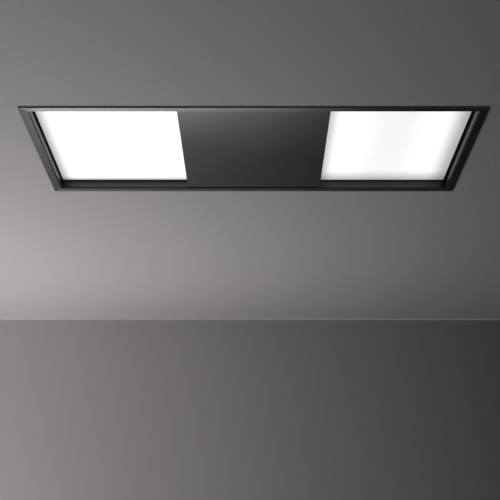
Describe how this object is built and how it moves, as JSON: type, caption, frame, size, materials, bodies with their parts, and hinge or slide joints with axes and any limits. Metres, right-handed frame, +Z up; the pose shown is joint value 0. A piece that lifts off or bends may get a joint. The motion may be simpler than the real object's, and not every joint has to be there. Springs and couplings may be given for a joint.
{
  "type": "ceiling range hood",
  "caption": "Flush ceiling range hood: black frame, two light panels, centre panel that swings down over the grease filters, fan box above.",
  "frame": {"origin": "middle of the ceiling underside, inside the frame", "axes": "+Z up into the ceiling void, +X along the 1200 mm side to the right in the picture, -Y towards the viewer, +Y to the duct outlet"},
  "size_m": [1.2, 0.6, 0.3052],
  "materials": {
    "black_coat": "fine satin black powder coat",
    "galvanised_steel": "zinc coated sheet with soft spangle",
    "bright_steel": "bright plated",
    "aluminium": "mill aluminium",
    "opal_acrylic": "lit opal sheet",
    "circuit_board": "white solder mask",
    "black_plastic": "moulded black plastic",
    "grey_plastic": "moulded grey plastic",
    "motor_paint": "dark motor paint"
  },
  "bodies": {
    "housing": {"trim_rail_near": "black_coat", "trim_rail_far": "black_coat", "trim_rail_left": "black_coat", "trim_rail_right": "black_coat", "casing_wall_left": "black_coat", "casing_wall_right": "black_coat", "casing_wall_near": "black_coat", "casing_wall_far": "black_coat", "casing_top": "galvanised_steel", "partition_left": "galvanised_steel", "partition_right": "galvanised_steel", "lamp_tray_left": "black_coat", "led_board_left": "circuit_board", "diffuser_left": "opal_acrylic", "lamp_tray_right": "black_coat", "led_board_right": "circuit_board", "diffuser_right": "opal_acrylic", "filter_carrier": "galvanised_steel", "filter_frame_near": "aluminium", "filter_mesh_near": "aluminium", "filter_frame_far": "aluminium", "filter_mesh_far": "aluminium", "hinge_arm_left": "bright_steel", "hinge_arm_right": "bright_steel", "hinge_pin_left": "bright_steel", "hinge_pin_right": "bright_steel", "catch_body_left": "black_plastic", "catch_body_right": "black_plastic", "box_wall_left": "galvanised_steel", "box_wall_right": "galvanised_steel", "box_wall_near": "galvanised_steel", "box_wall_far": "galvanised_steel", "box_lid": "galvanised_steel", "scroll_wall": "galvanised_steel", "scroll_lid": "galvanised_steel", "inlet_ring": "galvanised_steel", "motor": "motor_paint", "duct_collar": "galvanised_steel", "damper_pin": "bright_steel", "control_box": "grey_plastic", "lamp_driver": "grey_plastic", "terminal_box": "black_plastic", "cable_gland": "black_plastic"},
    "centre_panel": {"access_panel": "black_coat", "panel_brace_left": "galvanised_steel", "panel_brace_right": "galvanised_steel", "hinge_leaf_left": "bright_steel", "hinge_leaf_right": "bright_steel"},
    "plunger_left": {"catch_plunger_left": "grey_plastic"},
    "plunger_right": {"catch_plunger_right": "grey_plastic"},
    "latch_near": {"filter_latch_near": "black_plastic"},
    "latch_far": {"filter_latch_far": "black_plastic"},
    "fan_wheel": {"impeller": "galvanised_steel", "motor_shaft": "bright_steel"},
    "flap_left": {"damper_flap_left": "aluminium"},
    "flap_right": {"damper_flap_right": "aluminium"},
    "bracket_near_left": {"hanger_near_left": "galvanised_steel"},
    "bracket_far_left": {"hanger_far_left": "galvanised_steel"},
    "bracket_near_right": {"hanger_near_right": "galvanised_steel"},
    "bracket_far_right": {"hanger_far_right": "galvanised_steel"}
  },
  "joints": [
    {"name": "access_panel_swing", "type": "hinge", "parent": "housing", "child": "centre_panel", "pos_m": [0, 0.262, 0.003], "axis": [1, 0, 0], "range_deg": [0, 90]},
    {"name": "catch_plunger_left_press", "type": "slide", "parent": "housing", "child": "plunger_left", "axis": [0, 0, 1], "range_m": [0, 0.004], "stiffness_N_per_m": 400, "springref_m": -0.002},
    {"name": "catch_plunger_right_press", "type": "slide", "parent": "housing", "child": "plunger_right", "axis": [0, 0, 1], "range_m": [0, 0.004], "stiffness_N_per_m": 400, "springref_m": -0.002},
    {"name": "filter_latch_near_slide", "type": "slide", "parent": "housing", "child": "latch_near", "axis": [0, 1, 0], "range_m": [0, 0.008], "stiffness_N_per_m": 300, "springref_m": -0.003},
    {"name": "filter_latch_far_slide", "type": "slide", "parent": "housing", "child": "latch_far", "axis": [0, 1, 0], "range_m": [0, 0.008], "stiffness_N_per_m": 300, "springref_m": -0.003},
    {"name": "impeller_spin", "type": "hinge", "parent": "housing", "child": "fan_wheel", "pos_m": [-0.092, -0.012, 0.172], "axis": [0, 0, 1], "continuous": true},
    {"name": "damper_flap_left_swing", "type": "hinge", "parent": "housing", "child": "flap_left", "pos_m": [0.015, 0.203, 0.188], "axis": [0, 0, -1], "range_deg": [0, 80], "stiffness_Nm_per_rad": 0.02, "springref_deg": -11.46},
    {"name": "damper_flap_right_swing", "type": "hinge", "parent": "housing", "child": "flap_right", "pos_m": [0.015, 0.203, 0.188], "axis": [0, 0, 1], "range_deg": [0, 80], "stiffness_Nm_per_rad": 0.02, "springref_deg": -11.46},
    {"name": "hanger_near_left_height", "type": "slide", "parent": "housing", "child": "bracket_near_left", "axis": [0, 0, 1], "range_m": [0, 0.03]},
    {"name": "hanger_near_right_height", "type": "slide", "parent": "housing", "child": "bracket_near_right", "axis": [0, 0, 1], "range_m": [0, 0.03]},
    {"name": "hanger_far_left_height", "type": "slide", "parent": "housing", "child": "bracket_far_left", "axis": [0, 0, 1], "range_m": [0, 0.03]},
    {"name": "hanger_far_right_height", "type": "slide", "parent": "housing", "child": "bracket_far_right", "axis": [0, 0, 1], "range_m": [0, 0.03]}
  ]
}
